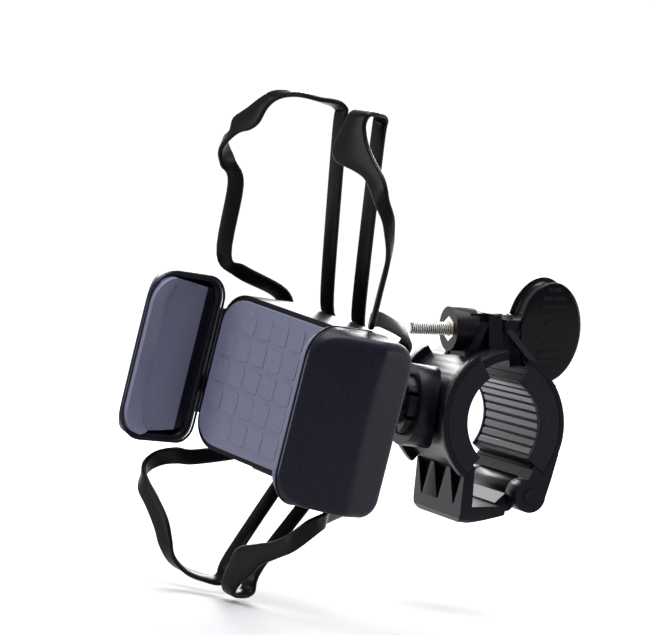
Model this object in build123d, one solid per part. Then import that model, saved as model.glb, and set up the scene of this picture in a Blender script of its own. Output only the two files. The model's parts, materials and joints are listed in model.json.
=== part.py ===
from build123d import *
import os
from math import cos, pi, radians, sin, sqrt

# Phone mount for a handlebar, in millimetres.
# Row frame: origin at the centre of the clamped bar, +X along the bar, +Z up, and the rider sits
# on the -Y side. The clamp is modelled in this frame. The cradle is modelled in its own frame
# (x right, y up, z towards the rider, origin at the middle of the phone's front face) and placed last.

# ---------------------------------------------------------------- clamp sizes
BAR_R = 11.1              # 22.2 mm handlebar
CLAMP_HALF = 20.0         # half of the clamp's width along the bar
FLANGE_T = 1.6            # thickness of the rubber flanges and of the shell rims beside them
JAW_R = 15.06             # radius each rubber insert was moulded to
INSERT_R = 18.0           # back of the insert, front of the shell
INSERT_RIM_R = 21.6       # insert's side flanges
BARREL_R = 20.5           # outside of the shells
RIM_R = 23.0              # shells' side rims
FRONT_C = (3.96, 0.4)     # centre of the front half's arcs in (Y, Z)
REAR_C = (-2.2, -2.1)     # centre of the rear half's arcs, swung closed on the bar
FRONT_ARC = (130.0, 233.3)
REAR_ARC = (-32.7, 66.0)
GRIP_R = 0.06             # an insert stands this far off the bar

PIN_C = (13.2, -21.2)     # hinge pin of the clamp
PIN_R = 1.5
KNUCKLE_R = 5.0
KNUCKLE_HALF = 12.7       # half width of the front half's middle knuckle
RUN = 0.06                # radial clearance of running fits
GAP = 0.3                 # clearance between bodies that only pass each other

BOLT_P = (-12.8, 24.2)    # centre of the nut boss's face
BOLT_TILT = 7.0           # the bolt rises this much towards the knob
BOLT_R = 2.0              # M4 clamp bolt
BOSS_R = 6.7
EAR_HALF = 8.0
EAR_TOP = 30.6
FOOT_HALF = 17.3          # half width of the ribbed foot
FOOT_BOTTOM = -32.0

# ---------------------------------------------------------------- ball joint sizes
BALL_Y = -23.2            # ball centre on the clamp's middle plane
BALL_R = 7.0
SEAT_R = 9.5
CUP_R = 12.4
CUP_FRONT = -23.2
CUP_FLOOR = -17.0
NECK_R = 3.8

# ---------------------------------------------------------------- cradle sizes
PHONE_HALF = 33.5
PHONE_T = 7.0
MID_Y = -12.7             # jaws, pinion and stem are centred on this height
JAW_HALF = 25.0           # half of a jaw's height
LIP_Z = 14.9
JAW_OUT = 46.0
JAW_BACK = -13.5
HOUSE_HALF_X = 26.0
HOUSE_HALF_Y = 23.0
HOUSE_BACK = -31.0
PLATE_BACK = -10.7
PAD_BACK = -8.7
WALL = 2.0
ARM_Z = (-20.5, -16.5)    # rack arms and pinion share this layer
PITCH_R = 4.0
TEETH = 10
ARM_DEPTH = 5.0
BALL_Z = -65.95           # ball centre in the cradle's frame
YAW, ROLL, PITCH = 24.16, 6.69, 89.78

cradle_place = (
    Pos(0, BALL_Y, 0) * Rot(0, 0, YAW) * Rot(0, ROLL, 0) * Rot(PITCH, 0, 0) * Pos(0, -MID_Y, -BALL_Z)
)
bolt_place = Pos(0, *BOLT_P) * Rot(BOLT_TILT, 0, 0) * Rot(-90, 0, 0)   # local +Z runs along the bolt


def box(x, y, z):
    """A box from three (low, high) pairs."""
    size = [pair[1] - pair[0] for pair in (x, y, z)]
    middle = [(pair[1] + pair[0]) / 2 for pair in (x, y, z)]
    return Pos(*middle) * Box(*size)


def rod(radius, z, x=0.0, y=0.0):
    """A cylinder along Z between two heights."""
    return Pos(x, y, (z[0] + z[1]) / 2) * Cylinder(radius, z[1] - z[0])


def bar(radius, centre, x):
    """A cylinder along X about a (Y, Z) centre, between two X values."""
    return Pos((x[0] + x[1]) / 2, *centre) * Rot(0, 90, 0) * Cylinder(radius, x[1] - x[0])


def along_y(radius, y):
    """A cylinder along Y between two values, on the cup's axis."""
    return Pos(0, (y[0] + y[1]) / 2, 0) * Rot(90, 0, 0) * Cylinder(radius, y[1] - y[0])


def prism(points, x):
    """A (Y, Z) outline carried along X between two values."""
    face = Plane.YZ.offset(x[0]) * make_face(Polyline(*points, close=True))
    return extrude(face, x[1] - x[0])


def on_arc(centre, radius, angle):
    """A (Y, Z) point on a circle."""
    return (centre[0] + radius * cos(radians(angle)), centre[1] + radius * sin(radians(angle)))


def wedge(centre, angles, x, reach=60.0):
    """A pie slice about a (Y, Z) centre, wide enough to trim any ring of the clamp."""
    steps = 6
    turns = [angles[0] + (angles[1] - angles[0]) * i / steps for i in range(steps + 1)]
    return prism([centre] + [on_arc(centre, reach, turn) for turn in turns], x)


def ring(centre, inner, outer, angles, x):
    """Part of a ring about the bar's direction."""
    tube = bar(outer, centre, x) - bar(inner, centre, (x[0] - 1, x[1] + 1))
    return tube & wedge(centre, angles, x)


def both_ends(make, inner_x, outer_x):
    """The same feature at both ends of the clamp."""
    return make((inner_x, outer_x)) + make((-outer_x, -inner_x))


def only_solid(shape):
    """The largest solid of a result."""
    return max(shape.solids(), key=lambda s: s.volume)


# ================================================================ clamp
FULL = (-CLAMP_HALF, CLAMP_HALF)
RIM_IN = CLAMP_HALF - FLANGE_T


def insert(centre, angles, seat_points):
    """A rubber insert: a sleeve with a flange at each end and a seat that fits the bar."""
    sleeve = ring(centre, JAW_R, INSERT_R, angles, FULL)
    rims = both_ends(lambda x: ring(centre, JAW_R, INSERT_RIM_R, angles, x), RIM_IN, CLAMP_HALF)
    seat = prism(seat_points, FULL) & bar(INSERT_R, centre, FULL) & wedge(centre, angles, FULL)
    body = sleeve + rims + seat
    return body - bar(BAR_R + GRIP_R, (0, 0), (-CLAMP_HALF - 1, CLAMP_HALF + 1))


def make_front_insert():
    top_bar, top_end = on_arc((0, 0), BAR_R, 144), on_arc(FRONT_C, JAW_R + 0.2, 138)
    low_bar, low_end = on_arc((0, 0), BAR_R, 216), on_arc(FRONT_C, JAW_R + 0.2, 225)
    outline = [top_bar, top_end, (-10.5, 13.0), (-15.5, 8.0), (-15.5, -8.0), (-10.5, -13.0), low_end, low_bar]
    return insert(FRONT_C, FRONT_ARC, outline)


def make_rear_insert():
    top_bar, top_end = on_arc((0, 0), BAR_R, 52), on_arc(REAR_C, JAW_R + 0.2, 64)
    low_bar, low_end = on_arc((0, 0), BAR_R, -30), on_arc(REAR_C, JAW_R + 0.2, -24)
    outline = [top_bar, top_end, (8.0, 13.0), (14.0, 10.0), (16.0, 2.0), (15.0, -7.0), low_end, low_bar]
    return insert(REAR_C, REAR_ARC, outline)


def make_front_shell():
    """Front half: barrel, rims, cup neck, nut boss with ear and gussets, and the ribbed foot."""
    top_angle = 103.0
    barrel = ring(FRONT_C, INSERT_R, BARREL_R, (top_angle, FRONT_ARC[1] + 4), (-RIM_IN, RIM_IN))
    rims = both_ends(lambda x: ring(FRONT_C, INSERT_RIM_R, RIM_R, FRONT_ARC, x), RIM_IN - 1.4, CLAMP_HALF)
    webs = both_ends(lambda x: ring(FRONT_C, INSERT_R, RIM_R, FRONT_ARC, x), RIM_IN - 1.6, RIM_IN)
    neck = along_y(8.6, (CUP_FLOOR + 0.1, -12.0))
    neck = neck - bar(INSERT_R, FRONT_C, FULL)
    ear = prism([(-1.4, 15.8), (3.5, 15.8), (0.2, EAR_TOP), (-4.0, EAR_TOP)], (-EAR_HALF, EAR_HALF))
    block = prism([(-8.5, 15.0), (-1.0, 16.0), (-3.0, EAR_TOP), (-8.5, EAR_TOP - 0.7)], (-5.2, 5.2))
    strut = [(-9.8, 14.2), (-7.2, 14.9), (-3.4, 27.6), (-5.4, 28.0)]
    gussets = both_ends(lambda x: prism(strut, x), EAR_HALF - 1.8, EAR_HALF)
    boss = bolt_place * rod(BOSS_R, (0, 7.5))
    foot_width = (-FOOT_HALF, FOOT_HALF)
    wall = [(-8.3, -16.5), (-5.2, -14.4), (-4.0, -26.0), (-4.0, FOOT_BOTTOM), (-6.4, FOOT_BOTTOM),
            (-7.4, -30.6)]
    plate = [(-6.4, FOOT_BOTTOM), (-4.0, FOOT_BOTTOM), (7.0, -28.0), (7.0, -25.3), (-4.6, -26.8)]
    foot = prism(wall, foot_width) + prism(plate, foot_width)
    outline = Plane.XZ.offset(-12.0) * Pos(0, FOOT_BOTTOM + 15.0) * RectangleRounded(2 * FOOT_HALF, 30.0, 3.6)
    foot = foot & extrude(outline, 24.0)
    tongue = prism([(5.5, -28.3), (10.5, -26.9), (13.2, -24.0), (13.2, -20.0), (9.5, -20.5), (5.5, -25.0)],
                   (-KNUCKLE_HALF, KNUCKLE_HALF))
    knuckle = bar(KNUCKLE_R - 0.1, PIN_C, (-KNUCKLE_HALF, KNUCKLE_HALF))
    mid_web = prism([(-5.2, -19.0), (-2.5, -19.0), (1.8, -26.6), (-4.5, -27.5)], (-1.3, 1.3))
    shell = barrel + rims + webs + neck + ear + block + gussets + boss + foot + tongue + knuckle + mid_web
    shell -= both_ends(lambda x: ring(FRONT_C, 1.0, INSERT_RIM_R, FRONT_ARC, x), RIM_IN, CLAMP_HALF + 1)
    for x in (-11.6, 0.0, 11.6):
        pocket = Polyline((x - 4.9, -15.6), (x + 4.9, -15.6), (x + 0.4, -26.9), (x - 0.4, -26.9), close=True)
        shell -= extrude(Plane.XZ.offset(10.5) * make_face(pocket), -4.6) - bar(BARREL_R, FRONT_C, FULL)
    shell -= bar(PIN_R + 0.02, PIN_C, FULL)
    shell -= Pos(0, BALL_Y, 0) * Sphere(BALL_R + 1.1)
    shell -= bolt_place * rod(BOLT_R + 0.35, (-1, 20))
    shell -= bolt_place * extrude(RegularPolygon(4.08, 6, rotation=30), 3.3)
    lug_room = both_ends(lambda x: bar(KNUCKLE_R + GAP + 0.2, PIN_C, x), KNUCKLE_HALF + 0.2, CLAMP_HALF + 1)
    return only_solid(shell - lug_room - bar(INSERT_R, FRONT_C, FULL))


def make_rear_shell():
    """Rear half: barrel, rims, the ear the knob pushes on and the two outer hinge knuckles."""
    barrel = ring(REAR_C, INSERT_R, BARREL_R, (REAR_ARC[0] - 4, REAR_ARC[1]), (-RIM_IN, RIM_IN))
    rims = both_ends(lambda x: ring(REAR_C, INSERT_RIM_R, RIM_R, REAR_ARC, x), RIM_IN - 1.4, CLAMP_HALF)
    webs = both_ends(lambda x: ring(REAR_C, INSERT_R, RIM_R, REAR_ARC, x), RIM_IN - 1.6, RIM_IN)
    leg = [(13.2, -12.2), (16.9, -14.5), (20.3, -7.5), (19.2, -15.5), (18.1, -21.5), (13.2, -21.5),
           (11.2, -17.4)]
    web = prism(leg, FULL)
    ear = prism([(6.3, 13.5), (10.0, 13.5), (5.2, 29.6), (1.4, 29.6)], (-EAR_HALF, EAR_HALF))
    ear += bolt_place * rod(5.2, (16.0, 19.06))
    fan = Polyline((5.6, 0), (EAR_HALF, 0), (CLAMP_HALF, 18.9), (10.9, 18.9), (10.9, 8.0), close=True)
    slope = Plane(origin=(0, 4.1, 27.1), x_dir=(1, 0, 0), z_dir=(0, 0.78, 0.625))
    fans = extrude(slope * make_face(fan), -1.8) + ring(REAR_C, INSERT_R, 22.2, (34, 42), (10.9, RIM_IN))
    fans += mirror(fans, Plane.YZ)
    knuckles = both_ends(lambda x: bar(KNUCKLE_R, PIN_C, x), KNUCKLE_HALF + GAP, CLAMP_HALF)
    shell = barrel + rims + webs + web + ear + fans + knuckles
    shell -= bolt_place * rod(5.8, (19.06, 30.0))
    shell -= both_ends(lambda x: ring(REAR_C, 1.0, INSERT_RIM_R, REAR_ARC, x), RIM_IN, CLAMP_HALF + 1)
    tongue_room = bar(KNUCKLE_R + GAP, PIN_C, (-KNUCKLE_HALF - GAP, KNUCKLE_HALF + GAP))
    slot = extrude(SlotCenterToCenter(7.0, 5.0, rotation=90), 30)
    shell -= Pos(0, 0, BOLT_P[1] + 4.3) * Rot(-90, 0, 0) * slot
    return only_solid(shell - tongue_room - bar(PIN_R + RUN, PIN_C, FULL) - bar(INSERT_R, REAR_C, FULL))


def make_hinge_pin():
    """Steel pin pressed in the front knuckle, with a low head at each end."""
    shank = bar(PIN_R, PIN_C, (-CLAMP_HALF - 0.1, CLAMP_HALF + 0.1))
    heads = both_ends(lambda x: bar(PIN_R + 0.7, PIN_C, x), CLAMP_HALF + 0.1, CLAMP_HALF + 0.5)
    return shank + heads


def make_nut():
    """Captive hexagon nut, flush with the boss's face."""
    hexagon = extrude(RegularPolygon(4.0, 6, rotation=30), 3.2)
    return bolt_place * (hexagon - rod(BOLT_R + RUN, (-1, 5)))


BOLT_START, BOLT_END = -12.6, 22.5


def make_bolt():
    """Threaded clamp bolt, modelled at its thread's outside diameter."""
    shank = rod(BOLT_R, (BOLT_START, BOLT_END))
    return bolt_place * chamfer(shank.edges().group_by(Axis.Z)[0], 0.5)


KNOB_AT = 31.9            # knob centre along the bolt
KNOB_HALF = (10.4, 15.7)  # along the bolt, across it
KNOB_T = 10.4
KNOB_TURN = 8.6


def make_knob():
    """Oval thumb-turn whose plane holds the bolt's axis, with a hub against the rear ear."""
    oval = extrude(Plane.XZ * Ellipse(KNOB_HALF[1], KNOB_HALF[0]), KNOB_T / 2, both=True)
    oval = fillet(oval.edges(), 1.6)
    hub = rod(4.8, (-KNOB_HALF[0] - 1.5, -KNOB_HALF[0] + 5.0))
    knob = Rot(0, 0, 90 + KNOB_TURN) * (oval + hub)
    hole = rod(BOLT_R + 0.02, (BOLT_START, BOLT_END + 0.05))
    return bolt_place * (Pos(0, 0, KNOB_AT) * knob - hole)


WASHER = (19.1, 19.7)


def make_washer():
    """Thrust washer between the knob's hub and the rear ear."""
    return bolt_place * (rod(4.4, WASHER) - rod(BOLT_R + 0.02, (15, 25)))


# ================================================================ ball joint
def make_cup():
    """Smooth collar round the ball, its back edge following the barrel."""
    body = along_y(CUP_R, (CUP_FRONT, -8.0)) - bar(BARREL_R + 1.7, FRONT_C, FULL)
    body = body - along_y(SEAT_R + RUN, (CUP_FRONT - 1, CUP_FLOOR + 0.1)) - along_y(8.65, (-24, -8))
    return only_solid(body)


def make_seat():
    """Slotted friction seat that grips the ball and turns in the collar."""
    hollow = BALL_R + RUN
    lip_y, throat_r = CUP_FRONT - 2.6, 5.9
    lip_r = sqrt(hollow ** 2 - (lip_y - BALL_Y) ** 2)
    throat_y = BALL_Y + sqrt(hollow ** 2 - throat_r ** 2)
    ends = Polyline((lip_r, lip_y), (SEAT_R, lip_y), (SEAT_R, CUP_FLOOR), (throat_r, CUP_FLOOR),
                    (throat_r, throat_y))
    bowl = ThreePointArc((throat_r, throat_y), (hollow, BALL_Y), (lip_r, lip_y))
    body = revolve(make_face(ends + bowl), Axis.Y)
    slit = box((-0.6, 0.6), (lip_y - 1.0, CUP_FRONT + 1.5), (4.0, 12.0))
    for i in range(8):
        body -= Rot(0, 45 * i + 22.5, 0) * slit
    return only_solid(body)


def make_ball_stem():
    """Ball, neck and flared pedestal, with a spigot that the housing turns on."""
    ball = Pos(0, MID_Y, BALL_Z) * Sphere(BALL_R)
    profile = [(0, BALL_Z), (NECK_R, BALL_Z), (NECK_R, BALL_Z + 11), (5.4, BALL_Z + 16), (9.0, -37.0),
               (12.5, -34.2), (12.5, HOUSE_BACK - 0.1), (5.0, HOUSE_BACK - 0.1), (5.0, -28.0), (0, -28.0)]
    face = make_face(Plane.XZ * Polyline(*profile, close=True))
    stem = Pos(0, MID_Y, 0) * revolve(face, Axis.Z)
    hole = rod(1.5, (-44.0, -27.0), y=MID_Y)
    return cradle_place * (ball + stem - hole)


def make_stem_screw():
    """Screw and washer that hold the housing on the stem."""
    washer = rod(7.2, (-27.95, -27.0), y=MID_Y)
    head = rod(3.2, (-27.0, -25.2), y=MID_Y) - Pos(0, MID_Y, -25.2) * extrude(RegularPolygon(1.6, 6), -1.0)
    return cradle_place * (washer + head + rod(1.5, (-43.5, -27.5), y=MID_Y))


# ================================================================ cradle
SCREW_AT = [(x, MID_Y + y) for x in (-20.0, 20.0) for y in (-17.0, 17.0)]


def rounded_slab(half_x, half_y, radius, z):
    """A rounded rectangle about the cradle's middle, between two depths."""
    face = Plane.XY.offset(z[0]) * Pos(0, MID_Y) * RectangleRounded(2 * half_x, 2 * half_y, radius)
    return extrude(face, z[1] - z[0])


def arm_band(side):
    """Heights (low, high) of a rack arm's beam: the right arm runs above the pinion, the left below."""
    near = MID_Y + side * (PITCH_R + 0.75)
    far = near + side * ARM_DEPTH
    return (min(near, far), max(near, far))


def make_back_housing():
    outer = rounded_slab(HOUSE_HALF_X, HOUSE_HALF_Y, 9.0, (HOUSE_BACK, PLATE_BACK))
    outer = fillet(outer.edges().group_by(Axis.Z)[0], 3.0)
    inner = rounded_slab(HOUSE_HALF_X - WALL, HOUSE_HALF_Y - WALL, 7.0, (HOUSE_BACK + WALL, PLATE_BACK + 1))
    house = outer - inner
    house += rod(9.0, (HOUSE_BACK + 0.5, -28.1), y=MID_Y)
    for x, y in SCREW_AT:
        house += rod(3.2, (HOUSE_BACK + 1.0, PLATE_BACK), x, y)
    for side in (1, -1):
        low, high = arm_band(side)
        house += box((-18, 18), (low + 1.0, high - 1.0), (HOUSE_BACK + 1, ARM_Z[0] - 0.15))
        mouth = (low - 1.9, high + 0.3) if side > 0 else (low - 0.3, high + 1.9)
        wall_x = (HOUSE_HALF_X - 4, HOUSE_HALF_X + 2) if side > 0 else (-HOUSE_HALF_X - 2, -HOUSE_HALF_X + 4)
        house -= box(wall_x, mouth, (ARM_Z[0] - 0.2, ARM_Z[1] + 0.2))
    for x, y in SCREW_AT:
        house -= rod(2.6, (HOUSE_BACK - 1, HOUSE_BACK + 2.0), x, y)
        house -= rod(1.3, (HOUSE_BACK - 1, PLATE_BACK + 1), x, y)
    house -= rod(5.0 + RUN, (HOUSE_BACK - 1, -27.0), y=MID_Y)
    house -= rod(7.8, (-28.1, ARM_Z[0]), y=MID_Y)
    button_low = MID_Y - HOUSE_HALF_Y
    house -= box((-7.3, 7.3), (button_low - 2, button_low + 4), (-24.3, -15.7))
    return cradle_place * only_solid(house)


def make_front_plate():
    plate = rounded_slab(HOUSE_HALF_X, HOUSE_HALF_Y, 9.0, (PLATE_BACK, PAD_BACK))
    for x, y in SCREW_AT:
        plate -= rod(1.2, (PLATE_BACK - 1, PLATE_BACK + 1.3), x, y)
    return cradle_place * (plate - rod(1.5, (PLATE_BACK - 1, PLATE_BACK + 1.2), y=MID_Y))


def make_front_pad():
    return cradle_place * rounded_slab(HOUSE_HALF_X - 1.5, HOUSE_HALF_Y - 1.5, 8.0, (PAD_BACK, -PHONE_T))


def make_housing_screws():
    screws = []
    for x, y in SCREW_AT:
        head = rod(2.5, (HOUSE_BACK + 0.4, HOUSE_BACK + 2.0), x, y)
        shank = rod(1.15, (HOUSE_BACK + 1.5, PLATE_BACK + 1.2), x, y)
        cross = Pos(x, y, HOUSE_BACK + 0.4) * (Box(3.2, 0.7, 1.6) + Box(0.7, 3.2, 1.6))
        screws.append(cradle_place * (head + shank - cross))
    return Compound(children=screws)


def mirrored(shape, side):
    """The right-hand piece as drawn, or its mirror image for the left."""
    return shape if side > 0 else mirror(shape, Plane.YZ)


def section(points, half_y, side):
    """An (x, z) outline carried along y about the cradle's middle, mirrored for the left side."""
    face = Plane.XZ.offset(-(MID_Y + half_y)) * make_face(Polyline(*points, close=True))
    return mirrored(extrude(face, 2 * half_y), side)


def rounded_side(radius, half_y, z, side):
    """A rounded rectangle seen from the side, deep enough to trim a jaw."""
    centre = Pos(MID_Y, (z[0] + z[1]) / 2)
    face = Plane.YZ.offset(20) * centre * RectangleRounded(2 * half_y, z[1] - z[0], radius)
    return mirrored(extrude(face, 40), side)


def make_jaw_shell(side):
    """Outer shell of a side jaw: a slanted front face, a side wall and a bracket for the arm."""
    outer = [(33.2, LIP_Z), (34.5, LIP_Z), (JAW_OUT, -2.2), (JAW_OUT, JAW_BACK), (34.4, JAW_BACK),
             (34.4, -9.5), (33.2, -8.2)]
    inner = [(33.0, 20.0), (33.2, 12.8), (43.9, -2.9), (43.9, -11.4), (36.0, -11.4), (36.0, -7.9),
             (20.0, -7.9), (20.0, 20.0)]
    shell = section(outer, JAW_HALF, side) & rounded_side(9.0, JAW_HALF, (JAW_BACK, LIP_Z), side)
    cavity = section(inner, JAW_HALF - 1.6, side) & rounded_side(7.6, JAW_HALF - 1.6, (-11.4, 20.0), side)
    shell = shell - cavity
    bracket = section([(34.4, -21.5), (38.4, -21.5), (38.4, -12.5), (34.4, -12.5)], 16.0, side)
    shell = only_solid(shell + bracket)
    low, high = arm_band(side)
    pocket = mirrored(box((30, 37.2), (low - 0.05, high + 0.05), (ARM_Z[0] - 0.05, ARM_Z[1] + 0.05)), side)
    shell = shell - pocket
    for y in ((low + high) / 2 - 1.2, (low + high) / 2 + 1.2):
        shell -= mirrored(Pos(30, y, (ARM_Z[0] + ARM_Z[1]) / 2) * Rot(0, 90, 0) * Cylinder(0.9, 30), side)
    return cradle_place * only_solid(shell)


def make_jaw_pad(side):
    """Rubber lining of a jaw: a lip over the phone's edge, a hollow and a flat for its side."""
    lining = [(30.5, LIP_Z), (33.1, LIP_Z), (33.1, 12.7), (40.5, 1.9), (40.5, -7.8), (PHONE_HALF, -7.8),
              (PHONE_HALF, 0.0), (34.2, 6.2)]
    pad = section(lining, JAW_HALF - 1.7, side) & rounded_side(7.5, JAW_HALF - 1.7, (-11.3, LIP_Z), side)
    return cradle_place * only_solid(pad)


def rack_tooth(x, side):
    """One rack tooth pointing at the pinion."""
    pitch_y = MID_Y + side * PITCH_R
    tip, root = pitch_y - side * 0.6, pitch_y + side * 0.8
    outline = Polyline((x - 0.22, tip), (x + 0.22, tip), (x + 0.68, root), (x - 0.68, root), close=True)
    return extrude(Plane.XY.offset(ARM_Z[0]) * make_face(outline), ARM_Z[1] - ARM_Z[0])


def make_rack_arm(side):
    """Arm of a jaw, with the rack that the pinion drives."""
    low, high = arm_band(side)
    ends = (-16.5, 37.1) if side > 0 else (-37.1, 16.5)
    arm = box(ends, (low, high), ARM_Z)
    tooth_pitch = 2 * pi * PITCH_R / TEETH
    for n in range(-6, 5):
        arm += rack_tooth(side * n * tooth_pitch, side)
    for y in ((low + high) / 2 - 1.2, (low + high) / 2 + 1.2):
        arm -= mirrored(Pos(34, y, (ARM_Z[0] + ARM_Z[1]) / 2) * Rot(0, 90, 0) * Cylinder(0.75, 8), side)
    return cradle_place * only_solid(arm)


def make_jaw_screws(side):
    low, high = arm_band(side)
    screws = []
    for y in ((low + high) / 2 - 1.2, (low + high) / 2 + 1.2):
        at = Pos(0, y, (ARM_Z[0] + ARM_Z[1]) / 2) * Rot(0, 90, 0)
        screw = at * (rod(0.72, (31.0, 38.5)) + rod(1.1, (38.4, 39.2)))
        screws.append(cradle_place * mirrored(screw, side))
    return Compound(children=screws)


def make_pinion():
    """Ten-tooth pinion between the two racks."""
    body = rod(3.25, ARM_Z) + rod(2.9, (ARM_Z[1], ARM_Z[1] + 3.0))
    outline = Polyline((3.0, -0.62), (4.6, -0.22), (4.6, 0.22), (3.0, 0.62), close=True)
    tooth = extrude(Plane.XY.offset(ARM_Z[0]) * make_face(outline), ARM_Z[1] - ARM_Z[0])
    for i in range(TEETH):
        body += Rot(0, 0, 360 / TEETH * i) * tooth
    return cradle_place * Pos(0, MID_Y, 0) * (body - rod(1.5 + RUN, (-30, 0)))


def make_pinion_axle():
    return cradle_place * (rod(1.5, (-22.5, PLATE_BACK + 1.2), y=MID_Y) + rod(2.6, (-22.5, -20.8), y=MID_Y))


def make_pinion_spring():
    """Flat coil spring, as one ring round the pinion's hub."""
    return cradle_place * (rod(6.4, (-16.0, -13.2), y=MID_Y) - rod(3.4, (-17, -13), y=MID_Y))


BUTTON_LOW = MID_Y - HOUSE_HALF_Y - 2.2


def make_release_button():
    """Push button under the housing, with its stem."""
    cap = box((-7.0, 7.0), (BUTTON_LOW, BUTTON_LOW + 6.5), (-24.0, -16.0))
    cap = fillet(cap.edges().group_by(Axis.Y)[0], 0.8)
    stem = Pos(0, BUTTON_LOW + 8.4, -20.0) * Rot(90, 0, 0) * Cylinder(1.3, 4.0)
    return cradle_place * (cap + stem)


def make_button_spring():
    coil = Pos(0, BUTTON_LOW + 10.3, -20.0) * Rot(90, 0, 0) * (Cylinder(2.6, 3.2) - Cylinder(1.8, 4))
    return cradle_place * coil


# ================================================================ silicone band
# The band is one moulding with a ring behind the housing and a loop over each corner of the phone.
# It is stored as a ring and four loops that meet it face to face.
BAND_T = 1.5


def unit(vector):
    return vector / vector.length


def strap(stations):
    """A closed solid strap along stations of (point of its inner face, outward normal, width)."""
    points = [Vector(*station[0]) for station in stations]
    last = len(points) - 1
    rings = []
    for i, (point, normal, width) in enumerate(stations):
        ahead = unit(points[min(i + 1, last)] - points[max(i - 1, 0)])
        across = unit(ahead.cross(Vector(*normal))) * (width / 2)
        out = unit(across.cross(ahead)) * BAND_T
        p = points[i]
        rings.append([p + across, p - across, p - across + out, p + across + out])
    faces = []

    def triangle(*corners):
        faces.append(Face(Wire.make_polygon(corners, close=True)))

    def quad(a, b, c, d):
        triangle(a, b, c)
        triangle(a, c, d)

    quad(*rings[0])
    quad(*reversed(rings[-1]))
    for first, second in zip(rings, rings[1:]):
        for i in range(4):
            j = (i + 1) % 4
            quad(first[i], second[i], second[j], first[j])
    return Solid(Shell(faces))


RING_HALF = (15.0, 13.0)
ANCHOR_Z = HOUSE_BACK - 0.3
FRONT = (0, 0, 1)

# The visible run of each loop, from the phone's side, over its front, to its top or bottom edge.
# Each station is (x, y, z of the strap's inner face), the outward normal, and the strap's width.
RUNS = {
    "upper_right": [
        ((29.9, 15.3, -9.1), (0.7, 0, -0.7), 4.6), ((32.8, 15.3, -6.2), (0.7, 0, -0.7), 6.4),
        ((32.8, 24.0, -6.2), (0.7, 0, -0.7), 4.6), ((33.0, 33.0, -5.9), (0.7, 0, -0.6), 4.8),
        ((34.1, 39.5, -4.4), (1, 0, -0.2), 5.4), ((33.9, 45.5, -1.3), (1, 0, 0.7), 6.0),
        ((30.3, 50.6, 0.4), (0.1, 0, 1), 7.0),
        ((25.0, 54.6, 0.4), FRONT, 8.6), ((19.6, 57.6, 0.4), FRONT, 12.0),
        ((16.4, 61.6, 0.4), FRONT, 12.4), ((16.2, 66.0, 0.4), FRONT, 8.6),
        ((17.0, 68.8, -0.4), (0, 0.8, 0.6), 7.2), ((17.0, 69.1, -4.0), (0, 1, 0), 6.4)],
    "upper_left": [
        ((-32.6, 40.0, -7.3), (-0.5, 0, -0.9), 5.0), ((-34.2, 45.5, -4.6), (-1, 0, -0.2), 5.2),
        ((-33.6, 50.5, -1.0), (-1, 0, 0.7), 5.6), ((-30.6, 54.4, 0.4), (-0.1, 0, 1), 6.6),
        ((-27.2, 57.8, 0.4), FRONT, 8.8), ((-23.2, 61.2, 0.4), FRONT, 9.0),
        ((-19.8, 65.0, 0.4), (0, 0.1, 1), 6.4), ((-16.4, 68.2, -0.2), (0, 0.75, 0.65), 5.6),
        ((-10.5, 69.1, -2.2), (0, 1, 0.1), 5.4), ((-4.0, 69.1, -4.2), (0, 1, -0.1), 5.4)],
    "lower_right": [
        ((31.0, -40.9, -8.8), (0.6, 0, -0.8), 5.0), ((34.2, -41.2, -5.2), (1, 0, -0.25), 5.0),
        ((34.2, -43.4, -1.6), (1, 0, 0.5), 5.2), ((31.2, -48.8, 0.4), (0.15, 0, 1), 5.2),
        ((25.6, -52.8, 0.4), FRONT, 5.2), ((20.2, -55.8, 0.4), FRONT, 6.4), ((15.6, -59.4, 0.4), FRONT, 9.4),
        ((13.4, -63.6, 0.4), FRONT, 7.2), ((12.0, -67.4, 0.2), (0, -0.2, 1), 5.8),
        ((11.2, -69.1, -2.2), (0, -1, 0.2), 5.4)],
    "lower_left": [
        ((-31.0, -41.4, -8.8), (-0.6, 0, -0.8), 5.0), ((-34.2, -43.6, -5.4), (-1, 0, -0.25), 5.0),
        ((-34.0, -46.8, -1.6), (-1, 0, 0.5), 5.2), ((-31.0, -50.6, 0.4), (-0.15, 0, 1), 5.4),
        ((-25.8, -54.4, 0.4), FRONT, 5.6), ((-20.2, -59.0, 0.4), FRONT, 6.0),
        ((-16.3, -63.7, 0.4), (0, -0.1, 1), 5.6), ((-12.6, -67.2, -0.2), (0, -0.7, 0.7), 5.2),
        ((-7.6, -69.0, -2.4), (0, -1, 0.1), 5.2), ((-2.6, -69.1, -4.4), (0, -1, -0.1), 5.2)],
}
TAIL_X = {"upper_right": 16.4, "upper_left": 0.4, "lower_right": 10.6, "lower_left": -0.6}


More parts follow.
